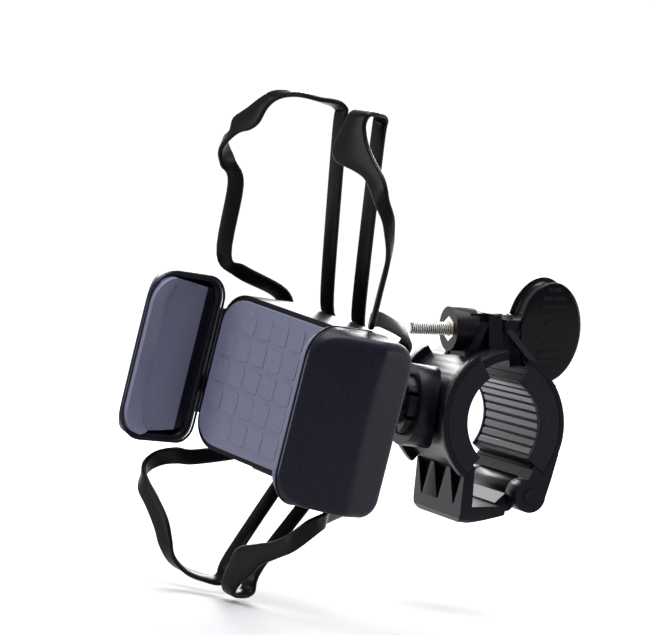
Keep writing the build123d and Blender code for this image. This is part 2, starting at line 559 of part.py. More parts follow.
def make_loop(name):
    """One corner loop: from the ring's side round the phone's corner and back to the ring's end."""
    sx = 1 if "right" in name else -1
    sy = 1 if "upper" in name else -1
    back = (0, 0, -1)
    start_y = MID_Y + sy * 5.0
    edge = MID_Y + sy * HOUSE_HALF_Y
    ring_end = MID_Y + sy * RING_HALF[1]
    leaving = [
        ((sx * RING_HALF[0], start_y, ANCHOR_Z), back, 5.6),
        ((sx * 18.0, start_y, ANCHOR_Z), back, 5.6),
        ((sx * 23.2, edge - sy * 5.5, ANCHOR_Z), back, 5.6),
        ((sx * 25.8, edge + sy * 0.6, ANCHOR_Z + 2.0), (sx * 0.6, sy * 0.6, -0.6), 5.2),
        ((sx * 28.6, edge + sy * 4.9, -14.5), (sx * 0.75, sy * 0.3, -0.3), 4.6)]
    if name == "upper_left":
        leaving.append(((-31.4, edge + 9.0, -8.2), (-0.4, 0, -1), 4.8))
    tail = TAIL_X[name]
    returning = [
        ((tail, sy * 68.6, -7.6), (0, sy * 0.7, -0.75), 5.4),
        ((tail * 0.95, sy * 62.0, -9.4), (0, sy * 0.3, -1), 5.2),
        ((sx * 6.6, edge + sy * 5.5, ANCHOR_Z + 3.4), (0, sy * 0.4, -0.9), 5.2),
        ((sx * 6.0, edge - sy * 1.5, ANCHOR_Z), back, 5.2),
        ((sx * 6.0, ring_end + sy * 2.0, ANCHOR_Z), back, 5.2),
        ((sx * 6.0, ring_end, ANCHOR_Z), back, 5.2)]
    return cradle_place * strap(leaving + RUNS[name] + returning)


def make_band_ring():
    """Ring of the band, round the stem's pedestal."""
    body = rounded_slab(*RING_HALF, 5.0, (ANCHOR_Z - BAND_T, ANCHOR_Z))
    return cradle_place * (body - rod(12.9, (-40, -20), y=MID_Y))


# ================================================================ write the parts
def main():
    os.makedirs("parts", exist_ok=True)
    parts = {
        "clamp_front_shell": make_front_shell(), "clamp_rear_shell": make_rear_shell(),
        "front_insert": make_front_insert(), "rear_insert": make_rear_insert(),
        "hinge_pin": make_hinge_pin(), "captive_nut": make_nut(), "clamp_bolt": make_bolt(),
        "thumb_knob": make_knob(), "thrust_washer": make_washer(), "ball_cup": make_cup(),
        "ball_seat": make_seat(), "ball_stem": make_ball_stem(), "stem_screw": make_stem_screw(),
        "cradle_back_housing": make_back_housing(), "cradle_front_plate": make_front_plate(),
        "cradle_front_pad": make_front_pad(), "housing_screws": make_housing_screws(),
        "drive_pinion": make_pinion(), "pinion_axle": make_pinion_axle(),
        "pinion_spring": make_pinion_spring(),
        "release_button": make_release_button(), "button_spring": make_button_spring(),
        "band_ring": make_band_ring(),
    }
    for side, word in ((1, "right"), (-1, "left")):
        parts["jaw_shell_" + word] = make_jaw_shell(side)
        parts["jaw_pad_" + word] = make_jaw_pad(side)
        parts["rack_arm_" + word] = make_rack_arm(side)
        parts["jaw_screws_" + word] = make_jaw_screws(side)
    for name in RUNS:
        parts["band_loop_" + name] = make_loop(name)
    for name, shape in parts.items():
        export_step(shape, f"parts/{name}.step")


main()
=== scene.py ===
import json
import math

import bmesh
import bpy
from mathutils import Matrix, Vector


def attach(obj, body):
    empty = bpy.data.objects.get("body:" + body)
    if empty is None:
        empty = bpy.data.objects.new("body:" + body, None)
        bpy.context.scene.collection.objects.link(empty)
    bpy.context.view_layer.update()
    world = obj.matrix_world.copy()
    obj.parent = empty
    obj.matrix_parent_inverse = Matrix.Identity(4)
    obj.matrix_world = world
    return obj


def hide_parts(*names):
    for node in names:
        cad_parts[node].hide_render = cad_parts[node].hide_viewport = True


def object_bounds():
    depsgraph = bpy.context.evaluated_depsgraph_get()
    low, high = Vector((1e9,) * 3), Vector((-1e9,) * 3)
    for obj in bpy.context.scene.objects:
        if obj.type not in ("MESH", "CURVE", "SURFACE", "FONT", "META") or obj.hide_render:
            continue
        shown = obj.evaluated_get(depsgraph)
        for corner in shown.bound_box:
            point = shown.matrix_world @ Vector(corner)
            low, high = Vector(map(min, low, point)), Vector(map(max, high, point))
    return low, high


# Looks of the handlebar phone mount. The frame gives the bodies, joints and CAD nodes in metres;
# the pieces below are drawn in millimetres and stand in the same places.
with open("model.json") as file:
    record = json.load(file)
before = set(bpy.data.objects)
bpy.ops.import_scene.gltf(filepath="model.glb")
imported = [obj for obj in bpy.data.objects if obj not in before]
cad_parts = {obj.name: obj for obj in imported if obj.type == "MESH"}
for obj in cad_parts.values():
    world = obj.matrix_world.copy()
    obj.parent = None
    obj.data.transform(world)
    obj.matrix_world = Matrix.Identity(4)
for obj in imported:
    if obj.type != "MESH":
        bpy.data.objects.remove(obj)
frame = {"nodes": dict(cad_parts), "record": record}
cad_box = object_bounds()
record = frame["record"]
nodes = frame["nodes"]
joints = {joint["name"]: joint for joint in record["behaviour"]["joints"]}
mounts = {mount["name"]: mount for mount in record["mounts"]}
MM = 0.001


# ---------------------------------------------------------------- places
def placed(x, y, z, origin):
    """A frame of three axes about an origin in millimetres, scaled to metres."""
    turn = Matrix((Vector(x), Vector(y), Vector(z))).transposed().to_4x4()
    return Matrix.Scale(MM, 4) @ Matrix.Translation(origin) @ turn


def joint_point(name):
    """Where a joint stands, in millimetres."""
    return Vector(joints[name]["pos_m"]) / MM


# The clamp's rubber is drawn straight in the part's own axes.
PART_AXES = Matrix.Scale(MM, 4)

# Cradle: x to the right and y up over the phone's face, z towards the rider, 0 on the phone's front.
MID_Y = -12.7
REST_DEPTH = 7.0
cradle_x = Vector(joints["jaw_right_slide"]["axis"])
cradle_y = Vector(joints["button_press"]["axis"])
cradle_z = Vector(joints["cradle_turn"]["axis"])
rest = Vector(mounts["phone_rest"]["pos_m"]) / MM
CRADLE = placed(cradle_x, cradle_y, cradle_z, rest - MID_Y * cradle_y + REST_DEPTH * cradle_z)

# Bolt: z along the bolt towards the knob, x along the bar, y square to both.
bolt_z = Vector(joints["knob_turn"]["axis"])
bolt_x = Vector((1, 0, 0))
BOLT = placed(bolt_x, bolt_z.cross(bolt_x), bolt_z, joint_point("knob_turn"))


# ---------------------------------------------------------------- materials
GRAIN_DEPTH_M = 0.0001
RAMP_LOW, RAMP_HIGH, SPECK_SHIFT = 0.35, 0.62, 0.1


def surface(name, colour, rough, grain, bump, metal=0.0, mottle=0.0, speck=0.0, gloss=0.4):
    """A node material whose object coordinates drive a fine grain in the bump and the colour.

    Mottle darkens and lightens the colour with the grain, and speck adds sparse light grains.
    """
    mat = bpy.data.materials.new(name)
    mat.use_nodes = True
    tree = mat.node_tree
    shader = tree.nodes["Principled BSDF"]
    shader.inputs["Roughness"].default_value = rough
    shader.inputs["Metallic"].default_value = metal
    shader.inputs["Specular IOR Level"].default_value = gloss
    coords = tree.nodes.new("ShaderNodeTexCoord")
    noise = tree.nodes.new("ShaderNodeTexNoise")
    noise.inputs["Scale"].default_value = grain
    noise.inputs["Detail"].default_value = 3.0
    tree.links.new(coords.outputs["Object"], noise.inputs["Vector"])
    bumper = tree.nodes.new("ShaderNodeBump")
    bumper.inputs["Strength"].default_value = bump
    bumper.inputs["Distance"].default_value = GRAIN_DEPTH_M
    tree.links.new(noise.outputs["Fac"], bumper.inputs["Height"])
    tree.links.new(bumper.outputs["Normal"], shader.inputs["Normal"])
    ramp = tree.nodes.new("ShaderNodeValToRGB")
    dark, light = ramp.color_ramp.elements
    dark.position = RAMP_LOW
    dark.color = (*[c * (1 - mottle) for c in colour], 1)
    light.position = RAMP_HIGH + SPECK_SHIFT * (speck > 0)
    light.color = (*[c * (1 + mottle) + speck for c in colour], 1)
    tree.links.new(noise.outputs["Fac"], ramp.inputs["Fac"])
    tree.links.new(ramp.outputs["Color"], shader.inputs["Base Color"])
    return mat


MATERIALS = {
    "body_plastic": surface("body_plastic", (0.0078, 0.0064, 0.0096), 0.31, 2200, 0.05,
                            mottle=0.15, gloss=0.12),
    "jaw_plastic": surface("jaw_plastic", (0.0095, 0.0092, 0.0175), 0.36, 1500, 0.2,
                           mottle=0.25, gloss=0.13),
    "knob_plastic": surface("knob_plastic", (0.0044, 0.0030, 0.0050), 0.13, 900, 0.03,
                            mottle=0.1, gloss=0.13),
    "insert_rubber": surface("insert_rubber", (0.0105, 0.0098, 0.0170), 0.5, 1700, 0.4,
                             mottle=0.3, speck=0.004, gloss=0.1),
    # Painted sheen: the ribs are the insert's rubber, painted about ten times lighter for the light they
    # catch.
    "rib_rubber_painted_sheen": surface("rib_rubber_painted_sheen", (0.10, 0.096, 0.120), 0.32, 2500, 0.08,
                          mottle=0.1, gloss=0.5),
    "pad_rubber": surface("pad_rubber", (0.175, 0.182, 0.265), 0.45, 2200, 0.10,
                          mottle=0.06, gloss=0.2),
    "band_silicone": surface("band_silicone", (0.0042, 0.0038, 0.0052), 0.3, 1200, 0.04,
                             mottle=0.1, gloss=0.12),
    "steel": surface("steel", (0.88, 0.88, 0.85), 0.28, 700, 0.05, metal=0.4, mottle=0.04),
    # Painted shade for the thread's grooves: a dark copy of the steel.
    "thread_root_painted_shade": surface("thread_root_painted_shade", (0.03, 0.027, 0.024), 0.5, 700, 0.05, metal=0.3, mottle=0.1),
    "nut_metal": surface("nut_metal", (0.80, 0.70, 0.55), 0.3, 500, 0.10, metal=1.0, mottle=0.08),
    "gear_plastic": surface("gear_plastic", (0.66, 0.65, 0.60), 0.4, 900, 0.06, mottle=0.05),
}


# ---------------------------------------------------------------- building and dressing pieces
def make(name, verts, faces, place, material, bevel=0.0, angle=30.0):
    """A smooth mesh piece from millimetre points in a frame, its edges eased if a bevel is given."""
    mesh = bpy.data.meshes.new(name)
    mesh.from_pydata([place @ Vector(v) for v in verts], [], faces)
    mesh.materials.append(MATERIALS[material])
    bm = bmesh.new()
    bm.from_mesh(mesh)
    bmesh.ops.recalc_face_normals(bm, faces=bm.faces)
    bm.to_mesh(mesh)
    bm.free()
    obj = bpy.data.objects.new(name, mesh)
    bpy.context.collection.objects.link(obj)
    if bevel:
        ease(obj, bevel, angle)
    shade(obj, angle)
    return obj


def ease(obj, width, angle):
    """Rounded edges of that width in millimetres, where faces meet at more than the angle."""
    mod = obj.modifiers.new("ease", "BEVEL")
    mod.width = width * MM
    mod.segments = 2
    mod.limit_method = "ANGLE"
    mod.angle_limit = math.radians(angle)
    mod.harden_normals = True
    mod.use_clamp_overlap = True


def shade(obj, angle):
    """Smooth shading, with creases kept where faces meet at more than the angle."""
    bm = bmesh.new()
    bm.from_mesh(obj.data)
    for face in bm.faces:
        face.smooth = True
    for edge in bm.edges:
        if len(edge.link_faces) == 2:
            edge.smooth = edge.calc_face_angle(0) < math.radians(angle)
    bm.to_mesh(obj.data)
    bm.free()


def grid_faces(rows, columns):
    """Quads between rows of points, each row closed on itself."""
    faces = []
    for i in range(rows - 1):
        for j in range(columns):
            k = (j + 1) % columns
            a = i * columns
            faces.append((a + j, a + k, a + columns + k, a + columns + j))
    return faces


def tube(rings):
    """Points and faces of a closed body from rings of equal length, its ends filled."""
    columns = len(rings[0])
    verts = [p for ring in rings for p in ring]
    faces = grid_faces(len(rings), columns)
    faces.append(tuple(reversed(range(columns))))
    faces.append(tuple(range(len(verts) - columns, len(verts))))
    return verts, faces


class Shape:
    """Several closed bodies gathered into one mesh."""

    def __init__(self):
        self.verts = []
        self.faces = []

    def add(self, body):
        verts, faces = body
        start = len(self.verts)
        self.verts += [tuple(v) for v in verts]
        self.faces += [tuple(i + start for i in face) for face in faces]

    def turned(self, profile, steps=48, closed=False):
        """A (radius, z) profile turned about z, closed on itself or capped at both ends."""
        rings = []
        for i in range(steps):
            t = 2 * math.pi * i / steps
            rings.append([(r * math.cos(t), r * math.sin(t), z) for r, z in profile])
        count = len(profile)
        verts = [p for ring in rings for p in ring]
        faces = []
        last = count if closed else count - 1
        for i in range(steps):
            k = (i + 1) % steps
            for j in range(last):
                m = (j + 1) % count
                faces.append((i * count + j, k * count + j, k * count + m, i * count + m))
        if not closed:
            faces.append(tuple(i * count for i in reversed(range(steps))))
            faces.append(tuple(i * count + count - 1 for i in range(steps)))
        self.add((verts, faces))

    def block(self, outline, low, high, axis=2):
        """A flat outline carried along an axis between two values."""
        def lift(point, value):
            p = list(point)
            p.insert(axis, value)
            return tuple(p)
        self.add(tube([[lift(p, low) for p in outline], [lift(p, high) for p in outline]]))


def arc_points(centre, radius, start, stop, steps):
    """Points on an arc between two angles in degrees, both ends included."""
    points = []
    for i in range(steps + 1):
        t = math.radians(start + (stop - start) * i / steps)
        points.append((centre[0] + radius * math.cos(t), centre[1] + radius * math.sin(t)))
    return points


def rounded_corners(half_x, half_y, corner, steps):
    """Points round a rectangle about the origin, with every corner rounded."""
    points = []
    for sx, sy, start in ((1, 1, 0), (-1, 1, 90), (-1, -1, 180), (1, -1, 270)):
        centre = (sx * (half_x - corner), sy * (half_y - corner))
        points += arc_points(centre, corner, start, start + 90, steps)
    return points


def bridge_ends(rows, columns):
    """Quads from the last row of points back to the first."""
    last = (rows - 1) * columns
    faces = []
    for j in range(columns):
        k = (j + 1) % columns
        faces.append((last + j, last + k, k, j))
    return faces


def stand_for(obj, body, *replaced, slot=None):
    """A piece rides on a body and stands for CAD nodes there, which are hidden; the slot argument is not
    used.
    """
    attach(obj, body)
    if replaced:
        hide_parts(*replaced)


# Edge widths in millimetres of the CAD nodes that show as they are; they are welded first.
WELD_M, EASED_ANGLE = 0.00001, 35.0
EASED = {"clamp_front_shell": 0.45, "clamp_rear_shell": 0.45, "ball_cup": 0.5, "ball_seat": 0.25,
         "hinge_pin": 0.3, "captive_nut": 0.25, "thrust_washer": 0.12, "cradle_back_housing": 0.3,
         "cradle_front_plate": 0.4, "release_button": 0.3, "rack_arm_right": 0.12, "rack_arm_left": 0.12,
         "housing_screws": 0.12, "drive_pinion": 0.1, "pinion_axle": 0.15, "stem_screw": 0.15,
         "jaw_screws_right": 0.08, "jaw_screws_left": 0.08}
slots = {entry["node"]: entry["material_slot"] for entry in record["subparts"]}
for name, obj in nodes.items():
    obj.data.materials.clear()
    obj.data.materials.append(MATERIALS[slots[name]])
    if name in EASED:
        weld = obj.modifiers.new("weld", "WELD")
        weld.merge_threshold = WELD_M
        ease(obj, EASED[name], EASED_ANGLE)


# ---------------------------------------------------------------- clamp
# Drawn in (y, z) across the bar: the centres are those of the two half bores.
CLAMP_HALF = 20.0
FLANGE = 1.6
FRONT_C, REAR_C = (3.96, 0.4), (-2.2, -2.1)
BORE_R, SLEEVE_R, FLANGE_R = 15.06, 17.95, 21.55
RIB_PITCH, RIB_W, RIB_H = 2.6, 2.1, 0.5
RIB_TOP_SHARE, RIB_END_GAP = 0.82, 0.55


def ribbed_insert(name, node, body, centre, start, stop):
    """Rubber insert: a sleeve with ribs along the bar between two flat flanges; the ribs are painted lighter
    as painted sheen.
    """
    shape = Shape()
    inside = CLAMP_HALF - FLANGE
    floor_r = BORE_R + RIB_H
    steps = 40

    def crescent(inner_r, outer_r):
        """The insert's section between two radii."""
        back = arc_points(centre, outer_r, stop, start, steps)
        return arc_points(centre, inner_r, start, stop, steps) + back

    shape.block(crescent(floor_r, SLEEVE_R), -inside - 0.05, inside + 0.05, axis=0)
    for side in (1, -1):
        ends = sorted((side * inside, side * (CLAMP_HALF - 0.01)))
        shape.block(crescent(BORE_R, FLANGE_R), *ends, axis=0)
    body_piece = make(name, shape.verts, shape.faces, PART_AXES, "insert_rubber", bevel=0.35)
    stand_for(body_piece, body, node)
    ribs = Shape()
    span = math.radians(stop - start) * BORE_R
    count = int((span - 1.0) / RIB_PITCH)
    for i in range(count):
        middle = (start + stop) / 2 + math.degrees((i - (count - 1) / 2) * RIB_PITCH / BORE_R)
        half = math.degrees(RIB_W / 2 / BORE_R)
        top = half * RIB_TOP_SHARE
        outline = arc_points(centre, BORE_R + 0.05, middle - top, middle + top, 3)
        outline += arc_points(centre, floor_r + 0.1, middle + half, middle - half, 3)
        ribs.block(outline, -inside + RIB_END_GAP, inside - RIB_END_GAP, axis=0)
    # The ribs take the lighter rubber, which is painted sheen.
    ribs_piece = make(name + "_ribs", ribs.verts, ribs.faces, PART_AXES, "rib_rubber_painted_sheen", bevel=0.16)
    stand_for(ribs_piece, body, slot="insert_rubber")


ribbed_insert("front_insert_rubber", "front_insert", "front_clamp", FRONT_C, 130.0, 233.3)
ribbed_insert("rear_insert_rubber", "rear_insert", "rear_clamp", REAR_C, -32.7, 66.0)

# Clamp bolt with a real helical thread and a chamfered tip.
BOLT_START, BOLT_END = -12.6, 22.5
TIP_R, TIP_SLOPE = 1.35, 1.1
# The last radius marks the groove faces that get painted shade.
THREAD_PITCH, CREST_R, ROOT_R, PAINTED_SHADE_BELOW_R = 0.7, 1.99, 1.5, 1.7
FLANK_SHARE, CREST_CUT = 0.42, 1.25


def threaded_bolt():
    """The thread's radius follows the distance from the crest's helix; its grooves get painted shade."""
    turn_steps, pitch_steps = 28, 7
    count = int((BOLT_END - BOLT_START) / THREAD_PITCH * pitch_steps)
    rings = []
    for i in range(count + 1):
        z = BOLT_START + (BOLT_END - BOLT_START) * i / count
        limit = min(CREST_R, TIP_R + (z - BOLT_START) * TIP_SLOPE)
        ring = []
        for j in range(turn_steps):
            t = 2 * math.pi * j / turn_steps
            phase = (z / THREAD_PITCH - j / turn_steps) % 1.0
            height = max(0.0, 1.0 - abs(phase - 0.5) / FLANK_SHARE)
            r = min(limit, ROOT_R + (CREST_R - ROOT_R) * min(1.0, height * CREST_CUT))
            ring.append((r * math.cos(t), r * math.sin(t), z))
        rings.append(ring)
    verts, faces = tube(rings)
    bolt = make("threaded_bolt", verts, faces, BOLT, "steel", angle=70)
    # Painted shade: the groove faces take a dark copy of the steel.
    bolt.data.materials.append(MATERIALS["thread_root_painted_shade"])
    for polygon, face in zip(bolt.data.polygons, faces):
        radii = [math.hypot(verts[v][0], verts[v][1]) for v in face]
        if len(face) == 4 and sum(radii) / 4 < PAINTED_SHADE_BELOW_R:
            polygon.material_index = 1
    return bolt


stand_for(threaded_bolt(), "screw_knob", "clamp_bolt")

# Thumb knob: a thick oval with a finger grip of low bars on the upper and lower half of each face.
KNOB_AT, KNOB_ALONG, KNOB_ACROSS, KNOB_T, KNOB_TURN = 31.9, 10.4, 15.7, 10.4, 8.6
KNOB_FALL_ACROSS, KNOB_FALL_ALONG = 0.9, 0.25
KNOB_ROUND, KNOB_WAIST = 0.85, 1.8
HUB_START, HUB_END, HUB_BORE = -12.7, -8.0, 2.05
KNOB = BOLT @ Matrix.Translation((0, 0, KNOB_AT)) @ Matrix.Rotation(math.radians(KNOB_TURN), 4, "Z")


def knob_dome(across, along):
    """How far the knob's faces fall away from their middle."""
    fall_across = KNOB_FALL_ACROSS * (across / KNOB_ACROSS) ** 2
    return fall_across + KNOB_FALL_ALONG * (along / KNOB_ALONG) ** 2


def oval_ring(x, inset, scale=1.0, steps=112):
    """A loop of the knob's oval at thickness x, drawn in by an inset and a scale."""
    ring = []
    for i in range(steps):
        t = 2 * math.pi * i / steps
        nx, ny = math.cos(t) / KNOB_ALONG, math.sin(t) / KNOB_ACROSS
        size = math.hypot(nx, ny)
        along = scale * (KNOB_ALONG * math.cos(t) - inset * nx / size)
        across = scale * (KNOB_ACROSS * math.sin(t) - inset * ny / size)
        ring.append((x * (1 - knob_dome(across, along) / (KNOB_T / 2)), across, along))
    return ring


def knob_body():
    """Two domed faces with rounded edges, the rim between them drawn in to a waist, and the hub."""
    shape = Shape()
    half = KNOB_T / 2
    edge = []
    for i in range(5):
        t = math.pi / 2 * i / 4
        edge.append((half - KNOB_ROUND * (1 - math.sin(t)), KNOB_ROUND * (1 - math.cos(t))))
    scales = (0.12, 0.3, 0.48, 0.64, 0.78, 0.9)
    waist = ((0.82, 0.0), (0.7, 1.1), (0.6, 1.5))
    rings = [oval_ring(-half, KNOB_ROUND, scale) for scale in scales]
    rings += [oval_ring(-x, inset) for x, inset in reversed(edge)]
    rings += [oval_ring(-half * share, inset) for share, inset in waist]
    rings.append(oval_ring(0.0, KNOB_WAIST))
    rings += [oval_ring(half * share, inset) for share, inset in reversed(waist)]
    rings += [oval_ring(x, inset) for x, inset in edge]
    rings += [oval_ring(half, KNOB_ROUND, scale) for scale in reversed(scales)]
    shape.add(tube(rings))
    hub = [(HUB_BORE, HUB_START), (3.9, HUB_START), (4.75, HUB_START + 0.5), (4.75, HUB_END),
           (HUB_BORE, HUB_END)]
    shape.turned(hub, closed=True)
    return make("thumb_knob_oval", shape.verts, shape.faces, KNOB, "knob_plastic", angle=40)


def grip_bar(middle, width):
    """Outline of one bar across the knob's axis: waisted at the middle, narrower at both ends."""
    wide, slim, tip, waist_reach = 0.64, 0.34, 0.2, 1.1
    upper = [(-slim, 0.0), (-wide, waist_reach), (-wide, width - 0.5), (-tip, width)]
    upper += [(-across, along) for across, along in reversed(upper)]
    lower = [(-across, -along) for across, along in upper[1:-1]]
    return [(middle + across, along) for across, along in upper + lower]


def knob_grips():
    """Low bars in an oval patch near both ends of each face."""
    shape = Shape()
    patch_at, patch_along, patch_across, pitch = 8.4, 4.2, 6.3, 2.55
    proud, sunk, rim_gap = 0.26, 0.3, 1.5
    for side in (1, -1):
        for end in (1, -1):
            for i in range(-2, 3):
                offset = i * pitch
                middle = end * (patch_at + offset)
                room = KNOB_ALONG * math.sqrt(max(0.0, 1 - (middle / KNOB_ACROSS) ** 2)) - rim_gap
                width = min(patch_along * math.sqrt(1 - (offset / patch_across) ** 2), room)
                level = KNOB_T / 2 - knob_dome(abs(middle) + 0.3, width / 2)
                ends = sorted((side * (level - sunk), side * (level + proud)))
                shape.block(grip_bar(middle, width), *ends, axis=0)
    return make("thumb_knob_grips", shape.verts, shape.faces, KNOB, "knob_plastic", bevel=0.12)


stand_for(knob_body(), "screw_knob", "thumb_knob")
stand_for(knob_grips(), "screw_knob", slot="knob_plastic")

# ---------------------------------------------------------------- ball stem
BALL = placed(cradle_x, cradle_y, cradle_z, joint_point("ball_tilt"))
BALL_R = 7.0
STEM_PROFILE = [(6.4, 3.0), (4.9, 6.5), (4.3, 10.0), (4.4, 14.0), (5.3, 18.5), (6.9, 22.6), (9.2, 26.6),
                (11.6, 29.6), (12.4, 31.6)]
BALL_TO_PHONE, HOUSE_BACK, NECK_TOP = 65.95, -31.0, -28.0
BACK_Z, NECK_Z = BALL_TO_PHONE + HOUSE_BACK, BALL_TO_PHONE + NECK_TOP


def ball_stem():
    """Ball and pedestal joined by a slim core with four ribs that flare to the pedestal."""
    shape = Shape()
    angles = [math.radians(a) for a in range(1, 180, 6)]
    shape.turned([(BALL_R * math.sin(t), -BALL_R * math.cos(t)) for t in angles], 64)
    core = [(2.6, 4.0), (2.6, 18.0), (3.4, 24.0), (5.6, 29.5), (8.0, 31.4)]
    shape.turned(core)
    base = [(1.6, 31.0), (11.6, 31.0), (12.45, 31.8), (12.45, BACK_Z - 0.35), (12.2, BACK_Z - 0.1),
            (5.0, BACK_Z - 0.1), (5.0, NECK_Z), (1.6, NECK_Z)]
    shape.turned(base, 64, closed=True)
    for turn in range(4):
        t = math.radians(90 * turn)
        along = Vector((math.cos(t), math.sin(t), 0))
        across = Vector((-math.sin(t), math.cos(t), 0))
        outline = [(1.0, 3.0)] + STEM_PROFILE + [(1.0, 31.6)]
        sides = []
        for half in (-1.0, 1.0):
            sides.append([along * r + across * half + Vector((0, 0, z)) for r, z in outline])
        shape.add(tube(sides))
    return make("ribbed_stem", shape.verts, shape.faces, BALL, "body_plastic", bevel=0.25)


stand_for(ball_stem(), "stem", "ball_stem")


# ---------------------------------------------------------------- jaws
JAW_HALF, LIP_Z, JAW_BACK, JAW_OUT = 25.0, 14.9, -14.1, 46.05
RIM_X, CORNER_R, SHELL_T = 33.2, 9.0, 1.6
CORNER_STEPS, STRAIGHT_STEPS = 10, 14
FACE_LIP_X, FACE_SLOPE, FACE_BOW, BOW_REACH = 34.25, 0.74, 0.9, 6.0
CREASE_Z, CREASE_SOFT, WALL_DRAFT = -2.2, 0.4, 0.012
EDGE_R, EDGE_LIP_SHARE, EDGE_LIP_REACH = 2.3, 0.3, 7.0
UPPER_DRAW, LOWER_DRAW, DRAW_AT_BACK, DRAW_START_Z, DRAW_REACH = 2.3, 1.3, 0.45, -4.0, 12.0
FACE_INSETS = (3.4, 4.6, 5.8, 7.0, 8.2, 9.4, 10.4, 10.9, 11.3, 11.7, 12.1, 12.5, 12.9, 13.3, 13.7, 14.1,
               14.35)
BEAD_R, BEAD_X = 0.38, RIM_X - 0.8


def held(value):
    """A value held between 0 and 1."""
    return max(0.0, min(1.0, value))


def side_loop(inset):
    """A rounded rectangle in (y, z) seen from the jaw's side, with tighter corners at the back."""
    half_y, half_z = JAW_HALF - inset, (LIP_Z - JAW_BACK) / 2 - inset
    middle = (LIP_Z + JAW_BACK) / 2
    corners = []
    for sy, sz, start, share in ((1, 1, 0, 1.0), (-1, 1, 90, 1.0), (-1, -1, 180, 0.62), (1, -1, 270, 0.8)):
        r = min(max(CORNER_R * share - inset, 0.3), half_y - 0.05, half_z - 0.02)
        centre = (sy * (half_y - r), sz * (half_z - r))
        corners.append(arc_points(centre, r, start, start + 90, CORNER_STEPS))
    loop = []
    for n, corner in enumerate(corners):
        loop += corner
        (y0, z0), (y1, z1) = corner[-1], corners[(n + 1) % 4][0]
        for i in range(1, STRAIGHT_STEPS):
            share = i / STRAIGHT_STEPS
            loop.append((y0 + (y1 - y0) * share, z0 + (z1 - z0) * share))
    return [(MID_Y + y, middle + z) for y, z in loop]


def jaw_face(y, z):
    """How far out the jaw's outside stands: a bowed slanted face, a soft crease and the side wall."""
    bow = FACE_BOW * (1 - ((y - MID_Y) / JAW_HALF) ** 2)
    slant = FACE_LIP_X + (LIP_Z - z) * FACE_SLOPE + bow * min(1.0, (LIP_Z - z) / BOW_REACH)
    wall = JAW_OUT - WALL_DRAFT * max(0.0, CREASE_Z - z)
    gap = (wall - slant) / CREASE_SOFT
    if gap > 8:
        return slant
    if gap < -8:
        return wall
    return wall - CREASE_SOFT * math.log1p(math.exp(gap))


def jaw_shell(name, side):
    """The jaw's cover: side walls from the mouth, a rounded edge and the face inside it."""
    rings = []

    def ring(inset, rise, turn):
        """One loop: rise goes from the mouth to the start of the rounded edge, turn goes round it."""
        points = []
        for y, z in side_loop(inset):
            round_r = EDGE_R * (EDGE_LIP_SHARE + (1 - EDGE_LIP_SHARE) * held((LIP_Z - z) / EDGE_LIP_REACH))
            base = jaw_face(y, z) - round_r
            x = RIM_X + (base - RIM_X) * rise + round_r * math.sin(turn)
            end = (y - MID_Y) / JAW_HALF
            towards_lip = DRAW_AT_BACK + (1 - DRAW_AT_BACK) * held((z - DRAW_START_Z) / DRAW_REACH)
            drawn_in = (UPPER_DRAW if end > 0 else LOWER_DRAW) * towards_lip * end * abs(end)
            drawn_in *= 0.5 * rise + 1 - math.cos(turn)
            points.append((side * x, y - drawn_in, z))
        rings.append(points)

    for rise in (0.0, 0.35, 0.7):
        ring(0.0, rise, 0.0)
    for i in range(7):
        t = math.pi / 2 * i / 6
        ring(EDGE_R * (1 - math.cos(t)), 1, t)
    for inset in FACE_INSETS:
        ring(inset, 1, math.pi / 2)
    columns = len(rings[0])
    verts = [p for r in rings for p in r]
    faces = grid_faces(len(rings), columns)
    faces.append(tuple(range(len(verts) - columns, len(verts))))
    obj = make(name, verts, faces, CRADLE, "jaw_plastic", angle=60)
    wall = obj.modifiers.new("wall", "SOLIDIFY")
    wall.thickness = SHELL_T * MM
    wall.offset = -1.0
    return obj


def jaw_bracket(name, side):
    """Rear wall of the jaw, the bracket that holds the rack arm and the shelf behind the lining."""
    shape = Shape()
    wall, bracket = (34.4, 44.4, -13.3, -11.6), (34.5, 38.3, -21.4, -12.6)
    shelf = (34.5, 36.2, -12.0, -7.9)
    for (near, far, low, high), half in ((wall, 19.0), (bracket, 15.9), (shelf, 21.5)):
        outline = [(side * near, low), (side * far, low), (side * far, high), (side * near, high)]
        shape.block(outline, MID_Y - half, MID_Y + half, axis=1)
    return make(name, shape.verts, shape.faces, CRADLE, "jaw_plastic", bevel=0.5)


def jaw_bead(name, side):
    """Thin bead round the jaw's mouth."""
    centre_line = side_loop(0.1)
    columns = 8
    rings = []
    count = len(centre_line)
    for i, (y, z) in enumerate(centre_line):
        before, after = centre_line[i - 1], centre_line[(i + 1) % count]
        out = Vector((0, after[1] - before[1], -(after[0] - before[0]))).normalized()
        ring = []
        for k in range(columns):
            t = 2 * math.pi * k / columns
            middle = Vector((side * (BEAD_X + BEAD_R * math.cos(t)), y, z))
            ring.append(middle + out * BEAD_R * math.sin(t))
        rings.append(ring)
    verts = [p for ring in rings for p in ring]
    faces = grid_faces(count, columns) + bridge_ends(count, columns)
    return make(name, verts, faces, CRADLE, "jaw_plastic", angle=60)


# The lining's section in (x, z), from the lip inwards, down the seat and back along the phone's side.
LINING_TOP, LINING_LOW = LIP_Z - 0.1, -7.7
LINING_HALF, LINING_STRAIGHT, LINING_ROUND = JAW_HALF - 1.75, JAW_HALF - 9.7, 8.0
LINING_TAPER = 0.075
LINING = [(30.6, LINING_TOP), (33.1, LINING_TOP), (33.1, 12.7), (40.5, 1.9), (40.5, LINING_LOW),
          (33.5, LINING_LOW), (33.55, 0.0), (34.0, 6.0), (31.6, 10.7)]


